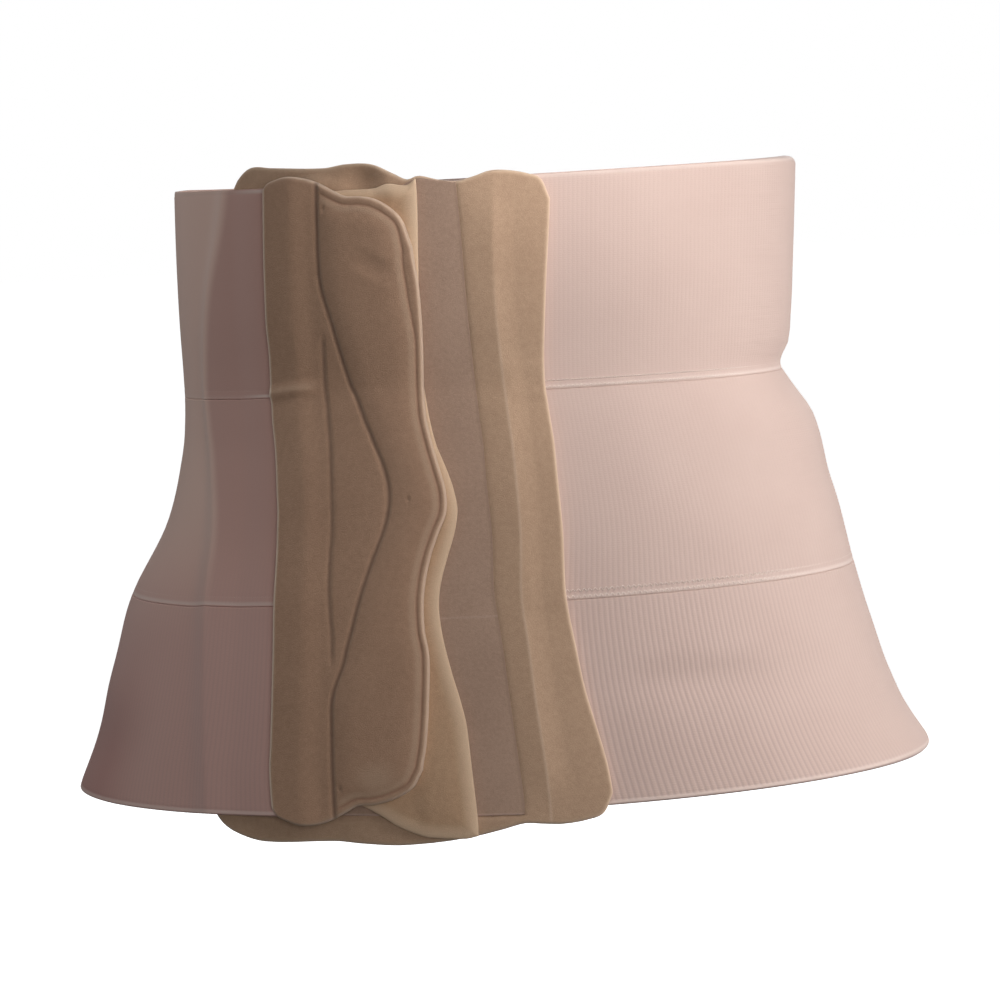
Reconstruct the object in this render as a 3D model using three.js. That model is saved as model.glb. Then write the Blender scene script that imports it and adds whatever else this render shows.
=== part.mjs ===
// Lumbar support belt, closed as it is worn, round a hollow for the body.
// Millimetres, +Z up, front towards -Y. The origin is the middle of the hollow at the waist seam.
import * as THREE from 'three';

// The wearer's size
const waistHalfWidth = 134;
const waistHalfDepth = 98;

// Heights of the three elastic bands, measured straight up
const upperBandHeight = 88;
const middleBandHeight = 85.5;
const lowerBandHeight = 85;

// How the top edge dips at the front and the hem rises on the wearer's left
const topEdgeDip = 3.2;
const hemTilt = 4.2;
const hipSeamTilt = 1.4;

// Thickness of each cloth, and the air left between layers that touch
const elasticThickness = 1.3;
const panelThickness = 2.6;
const loopThickness = 1;
const innerFlapThickness = 2.6;
const outerFlapThickness = 3.2;
const layerGap = 0.4;

// Sewn laps
const seamLap = 4.5;
const lapRamp = 5;
const coverRamp = 5;
const elasticTuckLeft = 12;
const panelRamp = 22;
const flapRamp = 14;

// Cut sizes of the front pieces
const panelLeftWidth = 90;
const panelRightWidth = 84;
const panelAboveElastic = 8;
const panelBelowElastic = 11;
const loopLeftWidth = 60;
const loopRightWidth = 47.5;
const flapLeftWidth = 64;
const flapRightWidth = 12.5;
const innerFlapRightWidth = 29;

// Moulded relief
const stayRidgeHeight = 1.5;
const stayRidgeHalfWidth = 5;
const grooveDepth = 1.5;
const grooveHalfWidth = 2;
const rimWidth = 5;
const rimStep = 1.3;
const padSwell = 1.4;

const lowerHeight = middleBandHeight + lowerBandHeight;
const seamLift = elasticThickness + layerGap;

// A table whose column up holds shares of the height above or below the waist seam, with that
// column turned into heights.
function atHeights(table) {
  return table.map((row) => ({ ...row, up: row.up * (row.up > 0 ? upperBandHeight : lowerHeight) }));
}

// Body sections. half: share of the waist's half width, deep: share of its half depth,
// shift: sideways share of the half width
const sections = atHeights([
  { up: -1.15, half: 1.504, deep: 1.435, shift: 0 },
  { up: -1.01, half: 1.434, deep: 1.388, shift: -0.003 },
  { up: -0.86, half: 1.348, deep: 1.337, shift: -0.017 },
  { up: -0.69, half: 1.265, deep: 1.276, shift: -0.024 },
  { up: -0.51, half: 1.197, deep: 1.204, shift: -0.018 },
  { up: -0.335, half: 1.113, deep: 1.133, shift: 0.018 },
  { up: -0.16, half: 1.038, deep: 1.066, shift: 0.023 },
  { up: -0.07, half: 1.013, deep: 1.03, shift: 0.013 },
  { up: 0.03, half: 1.0, deep: 1.0, shift: 0.002 },
  { up: 0.375, half: 1.01, deep: 1.01, shift: 0.009 },
  { up: 0.72, half: 1.017, deep: 1.02, shift: 0.019 },
  { up: 1.15, half: 1.022, deep: 1.03, shift: 0.034 },
]);

// Folds of the elastic. up: as above, turn: degrees round from the front, wide: reach in degrees,
// tall: reach as a share of the upper band, out: share of the waist's half width
const folds = atHeights([
  { up: 0.02, turn: 95, wide: 46, tall: 0.11, out: -0.02 },
  { up: -0.025, turn: 95, wide: 46, tall: 0.2, out: -0.024 },
  { up: -0.12, turn: 92, wide: 52, tall: 0.26, out: 0.03 },
  { up: -0.36, turn: -85, wide: 46, tall: 0.45, out: -0.018 },
  { up: -0.74, turn: 70, wide: 60, tall: 0.16, out: -0.008 },
  { up: -0.86, turn: 92, wide: 46, tall: 0.3, out: -0.016 },
  { up: -0.9, turn: -92, wide: 40, tall: 0.34, out: -0.012 },
]);

// Front panel, its side edges. up: as above, left and right: shares of the two panel widths,
// ridge: the stay's place as a share of the right width.
const panelSides = atHeights([
  { up: -1.1, left: 1.02, right: 1.0, ridge: 0.69 },
  { up: -0.965, left: 1.02, right: 0.996, ridge: 0.686 },
  { up: -0.88, left: 1.02, right: 0.974, ridge: 0.677 },
  { up: -0.72, left: 1.03, right: 0.885, ridge: 0.637 },
  { up: -0.6, left: 1.045, right: 0.829, ridge: 0.602 },
  { up: -0.49, left: 1.07, right: 0.772, ridge: 0.556 },
  { up: -0.3, left: 1.14, right: 0.688, ridge: 0.485 },
  { up: -0.12, left: 1.22, right: 0.648, ridge: 0.445 },
  { up: 0.05, left: 1.24, right: 0.634, ridge: 0.432 },
  { up: 0.45, left: 1.18, right: 0.653, ridge: 0.402 },
  { up: 0.8, left: 1.05, right: 0.676, ridge: 0.402 },
  { up: 1.1, left: 0.98, right: 0.684, ridge: 0.402 },
]);

// Front panel, its top and bottom edges. across: 0 at the left edge, 1 at the right edge,
// top: share of the panel's rise above the elastic, bottom: share of its drop below the hem.
const panelEnds = [
  { across: 0, top: -0.35, bottom: -0.1 },
  { across: 0.025, top: 0.55, bottom: 0.3 },
  { across: 0.07, top: 1.1, bottom: 0.65 },
  { across: 0.15, top: 1.04, bottom: 0.92 },
  { across: 0.34, top: 0.89, bottom: 0.88 },
  { across: 0.41, top: 1.03, bottom: 0.98 },
  { across: 0.49, top: 0.95, bottom: 1.06 },
  { across: 0.56, top: 0.4, bottom: 1.02 },
  { across: 0.6, top: 0.08, bottom: 0.97 },
  { across: 0.63, top: 0.24, bottom: 0.92 },
  { across: 0.69, top: -0.02, bottom: 0.78 },
  { across: 0.74, top: -0.13, bottom: 0.62 },
  { across: 0.79, top: 0.08, bottom: 0.45 },
  { across: 0.83, top: 0.3, bottom: 0.5 },
  { across: 0.88, top: 0.27, bottom: 0.55 },
  { across: 0.94, top: 0.02, bottom: 0.45 },
  { across: 0.975, top: -0.3, bottom: 0.25 },
  { across: 1, top: -1.3, bottom: -0.4 },
];

// Loop field, its right edge as a share of its right width, and its ends as for the panel
const loopSides = atHeights([
  { up: -1.1, right: 1.0 },
  { up: -0.96, right: 1.0 },
  { up: -0.8, right: 0.95 },
  { up: -0.6, right: 0.85 },
  { up: -0.45, right: 0.725 },
  { up: -0.26, right: 0.59 },
  { up: -0.1, right: 0.54 },
  { up: 0.05, right: 0.525 },
  { up: 0.4, right: 0.476 },
  { up: 0.75, right: 0.434 },
  { up: 1.0, right: 0.39 },
]);
const loopEnds = [
  { across: 0, top: -0.8, bottom: -0.1 },
  { across: 0.7, top: -0.45, bottom: 0.05 },
  { across: 1, top: -0.42, bottom: 0.15 },
];

// Inner flap, its right edge as a share of its right width, and its ends as for the panel
const innerSides = atHeights([
  { up: -1.1, right: 1.0 },
  { up: -0.97, right: 0.97 },
  { up: -0.8, right: 0.905 },
  { up: -0.735, right: 0.82 },
  { up: -0.67, right: 0.7 },
  { up: -0.59, right: 0.57 },
  { up: -0.53, right: 0.497 },
  { up: -0.475, right: 0.47 },
  { up: -0.415, right: 0.485 },
  { up: -0.3, right: 0.55 },
  { up: -0.245, right: 0.485 },
  { up: -0.195, right: 0.38 },
  { up: -0.137, right: 0.24 },
  { up: -0.065, right: 0.17 },
  { up: 0.05, right: 0.138 },
  { up: 0.45, right: 0.114 },
  { up: 0.88, right: 0.11 },
  { up: 1.1, right: 0.06 },
]);
const innerEnds = [
  { across: 0, top: -0.4, bottom: -0.7 },
  { across: 0.42, top: -0.35, bottom: -0.45 },
  { across: 0.53, top: -0.3, bottom: -0.04 },
  { across: 0.62, top: -0.3, bottom: 0.4 },
  { across: 0.74, top: -0.27, bottom: 0.77 },
  { across: 0.82, top: -0.08, bottom: 0.85 },
  { across: 0.94, top: -0.2, bottom: 0.84 },
  { across: 1, top: 0.15, bottom: 0.5 },
];

// Outer flap. left, right: shares of its two widths, fold: where the stay pocket ends and
// grip: the edge of the hand grip, both measured left of the front as shares of the left width.
const outerSides = atHeights([
  { up: -1.1, left: 0.86, fold: 0.455, grip: 0.39, right: 0.6 },
  { up: -0.98, left: 0.885, fold: 0.455, grip: 0.39, right: 0.62 },
  { up: -0.9, left: 0.885, fold: 0.45, grip: 0.385, right: 0.67 },
  { up: -0.84, left: 0.87, fold: 0.445, grip: 0.38, right: 0.83 },
  { up: -0.75, left: 0.855, fold: 0.44, grip: 0.375, right: 0.945 },
  { up: -0.635, left: 0.85, fold: 0.438, grip: 0.35, right: 0.96 },
  { up: -0.57, left: 0.855, fold: 0.448, grip: 0.31, right: 0.78 },
  { up: -0.48, left: 0.875, fold: 0.49, grip: 0.265, right: 0.66 },
  { up: -0.4, left: 0.91, fold: 0.525, grip: 0.23, right: 0.66 },
  { up: -0.346, left: 0.935, fold: 0.54, grip: 0.198, right: 0.79 },
  { up: -0.3, left: 0.945, fold: 0.552, grip: 0.176, right: 0.97 },
  { up: -0.25, left: 0.96, fold: 0.56, grip: 0.173, right: 0.93 },
  { up: -0.195, left: 0.97, fold: 0.567, grip: 0.205, right: 0.72 },
  { up: -0.138, left: 0.98, fold: 0.57, grip: 0.265, right: 0.5 },
  { up: -0.07, left: 0.985, fold: 0.57, grip: 0.325, right: 0.37 },
  { up: 0.02, left: 0.975, fold: 0.57, grip: 0.385, right: 0.4 },
  { up: 0.2, left: 0.975, fold: 0.572, grip: 0.455, right: 0.42 },
  { up: 0.34, left: 0.992, fold: 0.577, grip: 0.505, right: 0.4 },
  { up: 0.5, left: 0.995, fold: 0.585, grip: 0.523, right: 0.33 },
  { up: 0.67, left: 0.996, fold: 0.594, grip: 0.53, right: 0.16 },
  { up: 1.1, left: 0.99, fold: 0.6, grip: 0.535, right: 0.1 },
]);
const outerEnds = [
  { across: 0, top: -0.1, bottom: -0.3 },
  { across: 0.03, top: 0.2, bottom: -0.02 },
  { across: 0.1, top: 0.42, bottom: 0.18 },
  { across: 0.19, top: 0.54, bottom: 0.33 },
  { across: 0.3, top: 0.4, bottom: 0.3 },
  { across: 0.4, top: 0.12, bottom: 0.12 },
  { across: 0.5, top: -0.3, bottom: -0.15 },
  { across: 0.58, top: -0.59, bottom: -0.37 },
  { across: 0.68, top: -0.64, bottom: -0.4 },
  { across: 0.78, top: -0.83, bottom: -0.52 },
  { across: 0.88, top: -1.35, bottom: -0.75 },
  { across: 0.95, top: -2.05, bottom: -1.05 },
  { across: 1, top: -3.4, bottom: -1.6 },
];

// A smooth curve through one column of a table, read at one value of another column.
function curve(table, by, at, column) {
  const last = table.length - 1;
  let i = 0;
  while (i < last - 1 && at > table[i + 1][by]) i++;
  const slope = (j) => {
    const a = table[Math.max(j - 1, 0)];
    const b = table[Math.min(j + 1, last)];
    return (b[column] - a[column]) / (b[by] - a[by]);
  };
  const span = table[i + 1][by] - table[i][by];
  const t = Math.min(Math.max((at - table[i][by]) / span, 0), 1);
  const rise = table[i + 1][column] - table[i][column];
  const leave = slope(i) * span;
  const arrive = slope(i + 1) * span;
  const bend = leave + arrive - 2 * rise;
  return table[i][column] + t * (leave + t * (3 * rise - 2 * leave - arrive + t * bend));
}

const mix = (a, b, t) => a + (b - a) * t;

function ease(from, to, value) {
  const t = Math.min(Math.max((value - from) / (to - from), 0), 1);
  return t * t * (3 - 2 * t);
}

// A bump of height 1 that falls to 0 at the given reach.
function bump(distance, reach) {
  const t = Math.min(Math.abs(distance) / reach, 1);
  return (1 - t * t) ** 2;
}

// Numbers from one value up to another, the last left out.
function steps(from, to, count) {
  return Array.from({ length: count }, (_, i) => mix(from, to, i / count));
}

const halfWidthAt = (z) => waistHalfWidth * curve(sections, 'up', z, 'half');

// A distance round the body from the front, turned into an angle of the section.
const turnOf = (round, z) => round / halfWidthAt(z);

// The body's surface at an angle and a height.
function bodyPoint(turn, z) {
  const deep = waistHalfDepth * curve(sections, 'up', z, 'deep');
  const shift = waistHalfWidth * curve(sections, 'up', z, 'shift');
  let out = 0;
  for (const fold of folds) {
    const beyond = THREE.MathUtils.radToDeg(turn) - fold.turn;
    const angle = THREE.MathUtils.euclideanModulo(beyond + 180, 360) - 180;
    const reach = bump(angle, fold.wide) * bump(z - fold.up, fold.tall * upperBandHeight);
    out += fold.out * waistHalfWidth * reach;
  }
  const x = shift + (halfWidthAt(z) + out) * Math.sin(turn);
  const y = -(deep + out) * Math.cos(turn);
  return new THREE.Vector3(x, y, z);
}

// The same point moved out along the surface's normal.
function layerPoint(turn, z, out) {
  const step = 0.01;
  const round = bodyPoint(turn + step, z).sub(bodyPoint(turn - step, z));
  const rise = bodyPoint(turn, z + 1).sub(bodyPoint(turn, z - 1));
  return bodyPoint(turn, z).addScaledVector(round.cross(rise).normalize(), out);
}

// A closed sheet of cloth over a grid of columns and rows. place gives each grid point's
// turn, z, and how far its inner and outer faces lie from the body.
function clothSheet(name, colour, columns, rows, place) {
  const wide = columns.length;
  const tall = rows.length;
  const outerFace = [];
  const innerFace = [];
  for (const row of rows) {
    for (const column of columns) {
      const { turn, z, inner, outer } = place(column, row);
      outerFace.push(...layerPoint(turn, z, outer).toArray());
      innerFace.push(...layerPoint(turn, z, inner).toArray());
    }
  }
  const back = wide * tall;
  const faces = [];
  const quad = (a, b, c, d) => faces.push(a, b, c, a, c, d);
  for (let j = 0; j < tall - 1; j++) {
    for (let i = 0; i < wide - 1; i++) {
      const a = j * wide + i;
      quad(a, a + 1, a + wide + 1, a + wide);
      quad(back + a, back + a + wide, back + a + wide + 1, back + a + 1);
    }
  }
  for (let i = 0; i < wide - 1; i++) {
    const top = (tall - 1) * wide + i;
    quad(back + i, back + i + 1, i + 1, i);
    quad(top, top + 1, back + top + 1, back + top);
  }
  for (let j = 0; j < tall - 1; j++) {
    const left = j * wide;
    const right = left + wide - 1;
    quad(back + left, left, left + wide, back + left + wide);
    quad(right, back + right, back + right + wide, right + wide);
  }
  const geometry = new THREE.BufferGeometry();
  geometry.setAttribute('position', new THREE.Float32BufferAttribute([...outerFace, ...innerFace], 3));
  geometry.setIndex(faces);
  const material = new THREE.MeshStandardMaterial({ color: colour, roughness: 0.9, metalness: 0 });
  const mesh = new THREE.Mesh(geometry, material);
  mesh.name = name;
  return mesh;
}

// Heights of the elastic's edges and seams at an angle of the section
const topEdgeAt = (turn) => upperBandHeight + 1 - topEdgeDip * Math.max(0, Math.cos(turn));
const hipSeamAt = (turn) => -middleBandHeight + hipSeamTilt * Math.sin(turn);
const hemAt = (turn) => -lowerHeight + hemTilt * Math.sin(turn);

// Layers of the front, from the body out
const panelInner = elasticThickness + layerGap;
const panelOuter = panelInner + panelThickness;
const loopInner = panelOuter + layerGap;
const loopOuter = loopInner + loopThickness;
const innerFlapInner = loopOuter + layerGap;
const innerFlapOuter = innerFlapInner + innerFlapThickness;
const elasticEndInner = innerFlapOuter + layerGap;

// A lap: the upper band's foot lies over the lower band's head, then runs down to the body.
const lapHalf = seamLap / 2;
const lapTop = lapHalf + lapRamp;
const coverFoot = -lapHalf - 1;

// Lines round the body at a height
const panelLeftAt = (z) => -panelLeftWidth * curve(panelSides, 'up', z, 'left');
const panelRightAt = (z) => panelRightWidth * curve(panelSides, 'up', z, 'right');
const ridgeAt = (z) => panelRightWidth * curve(panelSides, 'up', z, 'ridge');
const flapLeftAt = (z) => -flapLeftWidth * curve(outerSides, 'up', z, 'left');
const flapLineAt = (z, line) => -flapLeftWidth * curve(outerSides, 'up', z, line);

// How far cloth that lies on the elastic is lifted where it crosses a lap.
function coverLift(turn, z) {
  const climb = (rise) => ease(coverFoot - coverRamp, coverFoot, rise);
  const fall = (rise) => ease(lapTop + coverRamp, lapTop, rise);
  const over = (rise) => climb(rise) * fall(rise);
  return seamLift * Math.max(over(z), over(z - hipSeamAt(turn)));
}

// How far the elastic's left end is lifted: it climbs over the panel's left edge and over the
// inner flap, and is held between the two flaps.
function elasticLift(round, z) {
  const overPanel = ease(panelLeftAt(z) - panelRamp, panelLeftAt(z) - panelThickness, round);
  const overFlap = ease(flapLeftAt(z) - flapRamp, flapLeftAt(z) - innerFlapThickness, round);
  return mix(loopInner * overPanel, elasticEndInner, overFlap);
}

// Columns between lines, with the given number of steps in each stretch
function lineColumns(counts) {
  const columns = counts.flatMap((count, line) => steps(0, 1, count).map((share) => ({ line, share })));
  return [...columns, { line: counts.length, share: 0 }];
}

function alongLines(lines, column) {
  const next = Math.min(column.line + 1, lines.length - 1);
  return mix(lines[column.line], lines[next], column.share);
}

// The angles that a band's columns run between, from its right end under the panel, round the
// back, to its left end under the flap: it climbs over the panel, then over the inner flap.
function bandLines(z) {
  const panel = panelLeftAt(z);
  const flap = flapLeftAt(z);
  const lefts = [panel - panelRamp, panel - panelThickness, flap - flapRamp, flap - innerFlapThickness];
  const turns = [...lefts, flap + elasticTuckLeft].map((round) => 2 * Math.PI + turnOf(round, z));
  return [turnOf(ridgeAt(z) + 1, z), ...turns];
}
const bandColumns = lineColumns([46, 4, 4, 3, 2]);

// An elastic band between two edges. Where lapped, its foot is lifted over the band below.
function elasticBand(name, colour, rows, lowAt, highAt, lapped) {
  const place = (column, row) => {
    const turnAt = (z) => alongLines(bandLines(z), column);
    const heightAt = (turn) => mix(lowAt(turn), highAt(turn), row);
    const z = heightAt(turnAt(heightAt(turnAt(0))));
    const turn = turnAt(z);
    const lap = lapped ? seamLift * ease(lapTop, lapHalf, z - lowAt(turn) - lapHalf) : 0;
    const left = turn > Math.PI ? elasticLift((turn - 2 * Math.PI) * halfWidthAt(z), z) : 0;
    const inner = left + lap;
    return { turn, z, inner, outer: inner + elasticThickness };
  };
  return clothSheet(name, colour, bandColumns, rows, place);
}

function upperBand() {
  const height = upperBandHeight + lapHalf;
  const rows = [0, seamLap / height, (seamLap + lapRamp) / height, ...steps(0.3, 1, 3), 1];
  return elasticBand('elastic_band_upper', 0xe3cabf, rows, () => -lapHalf, topEdgeAt, true);
}

function middleBand() {
  const height = middleBandHeight + seamLap;
  const low = [0, seamLap / height, (seamLap + lapRamp) / height];
  const rows = [...low, ...steps(0.25, 1 - seamLap / height, 5), 1 - seamLap / height, 1];
  const foot = (turn) => hipSeamAt(turn) - lapHalf;
  return elasticBand('elastic_band_middle', 0xdfc5bb, rows, foot, () => lapHalf, true);
}

function lowerBand() {
  const height = lowerBandHeight + lapHalf;
  const rows = [...steps(0, 1 - seamLap / height, 5), 1 - seamLap / height, 1];
  const head = (turn) => hipSeamAt(turn) + lapHalf;
  return elasticBand('elastic_band_lower', 0xd9beb4, rows, hemAt, head, false);
}

// Heights of a front piece's rows before its ends are shaped. Rows stand at the edges of the laps.
const lapRows = [coverFoot - coverRamp, coverFoot, lapTop, lapTop + coverRamp];
const hipRows = lapRows.map((z) => z - middleBandHeight);
function frontRows(low, middle, high) {
  return [
    ...steps(-lowerHeight, hipRows[0], low), ...hipRows.slice(0, 3),
    ...steps(hipRows[3], lapRows[0], middle), ...lapRows.slice(0, 3),
    ...steps(lapRows[3], upperBandHeight, high), upperBandHeight,
  ];
}

// Moves a row above or below the laps so that the piece's ends follow its table of ends.
function shapedHeight(ends, across, turn, row) {
  const tilt = hipSeamTilt * Math.sin(turn) * ease(0, -middleBandHeight / 2, row);
  const top = topEdgeAt(turn) + panelAboveElastic * curve(ends, 'across', across, 'top');
  const bottom = hemAt(turn) - panelBelowElastic * curve(ends, 'across', across, 'bottom');
  if (row > lapRows[3]) return mix(lapRows[3], top, (row - lapRows[3]) / (upperBandHeight - lapRows[3]));
  if (row > hipRows[0]) return row + tilt;
  return mix(hipRows[0] + tilt, bottom, (hipRows[0] - row) / (hipRows[0] + lowerHeight));
}

// Places a grid point of a front piece. linesAt gives, at a height, the distances round the body of
// the lines that the columns run between, from left to right.
function frontPlace(ends, linesAt, column, row) {
  const roundAt = (z) => alongLines(linesAt(z), column);
  let z = row;
  for (let pass = 0; pass < 6; pass++) {
    const lines = linesAt(z);
    const across = (roundAt(z) - lines[0]) / (lines[lines.length - 1] - lines[0]);
    z = shapedHeight(ends, across, turnOf(roundAt(z), z), row);
  }
  const round = roundAt(z);
  return { round, turn: turnOf(round, z), z };
}

function frontPanel() {
  const linesAt = (z) => {
    const ridge = ridgeAt(z);
    return [panelLeftAt(z), ridge - stayRidgeHalfWidth, ridge, ridge + stayRidgeHalfWidth, panelRightAt(z)];
  };
  const place = (column, row) => {
    const { round, turn, z } = frontPlace(panelEnds, linesAt, column, row);
    const onElastic = ease(ridgeAt(z) - stayRidgeHalfWidth, ridgeAt(z), round);
    const ends = ease(0, 0.12, (row + lowerHeight) / lowerHeight) * ease(1, 0.75, row / upperBandHeight);
    const ridge = stayRidgeHeight * ends * bump(round - ridgeAt(z), stayRidgeHalfWidth);
    const inner = panelInner + coverLift(turn, z) * onElastic;
    return { turn, z, inner, outer: inner + panelThickness + ridge };
  };
  return clothSheet('front_panel', 0xb39a80, lineColumns([13, 1, 1, 2]), frontRows(7, 5, 6), place);
}

function loopField() {
  const linesAt = (z) => {
    const right = loopRightWidth * curve(loopSides, 'up', z, 'right');
    return [flapLeftAt(z) * loopLeftWidth / flapLeftWidth, right];
  };
  const place = (column, row) => {
    const { turn, z } = frontPlace(loopEnds, linesAt, column, row);
    return { turn, z, inner: loopInner, outer: loopOuter };
  };
  return clothSheet('loop_field', 0x9c8375, lineColumns([8]), frontRows(7, 5, 6), place);
}

function innerFlap() {
  const linesAt = (z) => {
    const right = innerFlapRightWidth * curve(innerSides, 'up', z, 'right');
    return [flapLeftAt(z), right];
  };
  const place = (column, row) => {
    const { turn, z } = frontPlace(innerEnds, linesAt, column, row);
    return { turn, z, inner: innerFlapInner, outer: innerFlapOuter };
  };
  return clothSheet('inner_flap', 0xa68c72, lineColumns([8]), frontRows(8, 7, 6), place);
}

function outerFlap() {
  const linesAt = (z) => {
    const fold = flapLineAt(z, 'fold');
    const grip = flapLineAt(z, 'grip');
    const right = flapRightWidth * curve(outerSides, 'up', z, 'right');
    const rim = right - rimWidth;
    const groove = grooveHalfWidth;
    return [flapLeftAt(z), fold - groove, fold, grip, grip + groove, rim, rim + groove, right];
  };
  const place = (column, row) => {
    const { round, turn, z } = frontPlace(outerEnds, linesAt, column, row);
    const [left, , fold, grip, gripSide, rim, rimFoot] = linesAt(z);
    const elasticEnd = left + elasticTuckLeft;
    const onElastic = ease(elasticEnd + elasticTuckLeft, elasticEnd + layerGap, round);
    const inner = innerFlapOuter + layerGap + (seamLift + coverLift(turn, z)) * onElastic;
    const parted = ease(0.06, 0.12, (grip - fold) / flapLeftWidth);
    const foldGroove = grooveDepth * bump(round - fold, grooveHalfWidth);
    const gripGroove = grooveDepth * parted * bump(round - grip, grooveHalfWidth);
    const swell = padSwell * ease(grip, mix(gripSide, rim, 0.5), round);
    const relief = swell - foldGroove - gripGroove - rimStep * ease(rim, rimFoot, round);
    return { turn, z, inner, outer: inner + outerFlapThickness + relief };
  };
  return clothSheet('outer_flap', 0x8f7561, lineColumns([3, 1, 2, 1, 4, 1, 1]), frontRows(9, 8, 8), place);
}

const belt = new THREE.Group();
belt.add(upperBand(), middleBand(), lowerBand(), frontPanel(), loopField(), innerFlap(), outerFlap());

export default belt;
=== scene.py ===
# Lumbar support belt, closed as it is worn, round a hollow for the body.
# Sums are in millimetres and meshes in metres. +Z up, front towards -Y, the waist seam at height 0.
import math

import bpy
import numpy as np
from mathutils import Matrix, Vector
from mathutils.kdtree import KDTree


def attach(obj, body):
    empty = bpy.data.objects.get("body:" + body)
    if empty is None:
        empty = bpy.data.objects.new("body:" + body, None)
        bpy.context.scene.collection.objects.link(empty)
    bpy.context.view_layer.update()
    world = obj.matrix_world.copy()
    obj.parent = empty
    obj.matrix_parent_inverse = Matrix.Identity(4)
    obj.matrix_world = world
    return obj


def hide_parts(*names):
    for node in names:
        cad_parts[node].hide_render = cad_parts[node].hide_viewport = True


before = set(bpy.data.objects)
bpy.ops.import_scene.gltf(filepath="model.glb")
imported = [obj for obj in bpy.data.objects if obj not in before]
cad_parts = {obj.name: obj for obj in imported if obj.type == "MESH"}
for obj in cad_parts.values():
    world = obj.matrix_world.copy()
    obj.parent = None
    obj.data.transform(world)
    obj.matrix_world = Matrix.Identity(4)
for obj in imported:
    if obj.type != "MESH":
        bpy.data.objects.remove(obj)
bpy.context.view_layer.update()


# Elastic bands
# Three bands of ribbed elastic, each woven about 90 mm wide over rubber threads, with the ribs running
# up and down. The foot of a band is lapped over the head of the next one and pressed flat as it is
# sewn. Stretched round the body, they take its form, and both ends are caught in the moulded front.
waist_half_width = 134
waist_half_depth = 98
upper_band_height = 88
middle_band_height = 85.5
lower_band_height = 85
lower_height = middle_band_height + lower_band_height
top_edge_rise = 1
top_edge_dip = 3.2
hem_tilt = 4.2
hip_seam_tilt = 1.4
elastic_thickness = 1.3
panel_thickness = 2.6
loop_thickness = 1
inner_flap_thickness = 2.6
outer_flap_thickness = 3.2
layer_gap = 0.4
loop_gap = 0.05
flap_gap = 0.3
seam_lap = 4.5
lap_ramp = 1.2
head_rise = 0.4
head_cover = 0.25
elastic_tuck_left = 12
panel_ramp = 22
flap_ramp = 26
panel_left_width = 90
flap_left_width = 64
lap_half = seam_lap / 2
panel_inner = elastic_thickness + layer_gap
pressed_share = 0.6
thin_edge_share = 0.25
lap_lift = 0.5
lap_sink = 0.36
lap_tip_rise = 0.7
stitch_low = 0.9
stitch_high = 3.7
rib_count = 351
rib_height = 0.13
rib_groove_share = 0.27
rib_start = 0.302
rib_end = 5.98
ring_depth_share = 0.73
selvage_start = 1.0
selvage_end = 1.7
edge_curl = 3.4
hem_curl_share = 0.5
no_edge = 99
mm = 0.001


def at_heights(*rows):
    """A table whose first column, shares of the height over or under the waist seam, becomes heights."""
    table = np.array(rows, float)
    table[:, 0] *= np.where(table[:, 0] > 0, upper_band_height, lower_height)
    return table


# Body sections: half width, half depth and sideways shift, as shares of the waist's
sections = at_heights(
    (-1.15, 1.504, 1.435, 0), (-1.01, 1.434, 1.388, -0.003), (-0.86, 1.348, 1.337, -0.017),
    (-0.69, 1.265, 1.276, -0.024), (-0.51, 1.197, 1.204, -0.018), (-0.335, 1.113, 1.133, 0.018),
    (-0.16, 1.038, 1.066, 0.023), (-0.07, 1.013, 1.03, 0.013), (0.03, 1.0, 1.0, 0.002),
    (0.375, 1.01, 1.01, 0.009), (0.72, 1.017, 1.02, 0.019), (1.15, 1.022, 1.03, 0.034))

# Folds of the elastic: degrees round from the front, reach in degrees, reach up as a share of the
# upper band, and how far out as a share of the waist's half width
folds = at_heights(
    (0.02, 95, 46, 0.11, -0.013), (-0.025, 95, 46, 0.2, -0.024), (-0.147, 92, 52, 0.284, 0.021),
    (-0.36, -85, 46, 0.45, -0.018), (-0.74, 70, 60, 0.16, -0.008), (-0.86, 92, 46, 0.3, -0.016),
    (-0.9, -92, 40, 0.34, -0.012))

# Left edge of the panel under the elastic, and of the outer flap over it, as shares of their widths
panel_left = at_heights(
    (-1.1, 1.02), (-0.965, 1.02), (-0.88, 1.02), (-0.72, 1.03), (-0.6, 1.045), (-0.49, 1.07),
    (-0.3, 1.14), (-0.12, 1.22), (0.05, 1.24), (0.45, 1.18), (0.8, 1.05), (1.1, 0.98))
flap_left = at_heights(
    (-1.1, 0.86), (-0.98, 0.885), (-0.9, 0.885), (-0.84, 0.87), (-0.75, 0.855), (-0.635, 0.85),
    (-0.57, 0.855), (-0.48, 0.875), (-0.4, 0.91), (-0.346, 0.935), (-0.3, 0.945), (-0.25, 0.96),
    (-0.195, 0.97), (-0.138, 0.98), (-0.07, 0.985), (0.02, 0.975), (0.2, 0.975), (0.34, 0.992),
    (0.5, 0.995), (0.67, 0.996), (1.1, 0.99))

# Soft dents and swells of the stretched cloth: degrees round, height, reach round in degrees, reach
# up, and how far out
dents = [
    (42, -122, 17, 11, -1.6), (30, -140, 12, 22, 0.4), (31, 18, 14, 20, -0.4), (52, 44, 20, 18, 0.4),
    (34, 70, 12, 12, -0.3), (30, -34, 10, 26, -0.4), (48, -62, 14, 14, 0.4), (-62, -150, 22, 22, -1.4),
    (140, 30, 26, 24, -0.8), (205, -60, 30, 26, 0.8), (235, 40, 26, 20, -0.7), (120, -120, 24, 26, 0.8),
    (180, -130, 40, 20, -0.9), (262, -120, 24, 28, 0.8),
]


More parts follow.
